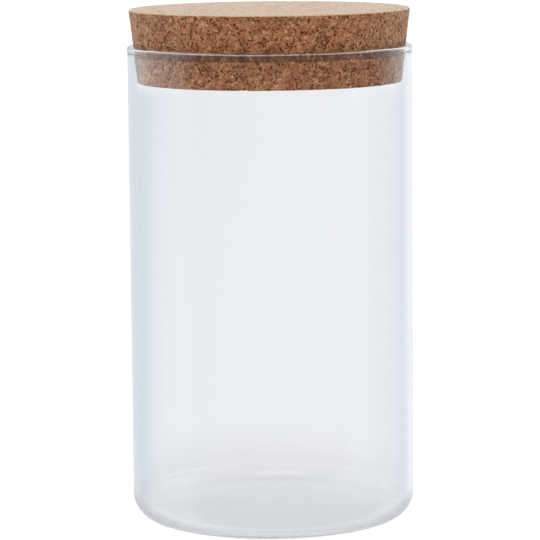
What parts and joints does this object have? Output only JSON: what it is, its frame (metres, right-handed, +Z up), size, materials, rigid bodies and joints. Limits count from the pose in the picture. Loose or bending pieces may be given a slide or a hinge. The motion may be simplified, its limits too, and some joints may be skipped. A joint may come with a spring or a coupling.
{
  "type": "storage jar",
  "caption": "Straight-sided clear glass storage jar with a rounded heel and beaded lip, closed by a tapered pressed cork stopper that lifts out.",
  "frame": {"origin": "centre of the plane that the jar stands on", "axes": "+Z up along the axis of the jar and stopper; X and Y are alike, because both pieces are turned shapes"},
  "size_m": [0.1004, 0.1004, 0.1811],
  "materials": {
    "clear_glass": "polished",
    "pressed_cork": "matte"
  },
  "bodies": {
    "jar": {"glass_jar": "clear_glass"},
    "stopper": {"cork_stopper": "pressed_cork"}
  },
  "joints": [
    {"name": "stopper_lift", "type": "slide", "parent": "jar", "child": "stopper", "axis": [0, 0, 1], "range_m": [0, 0.12]}
  ]
}
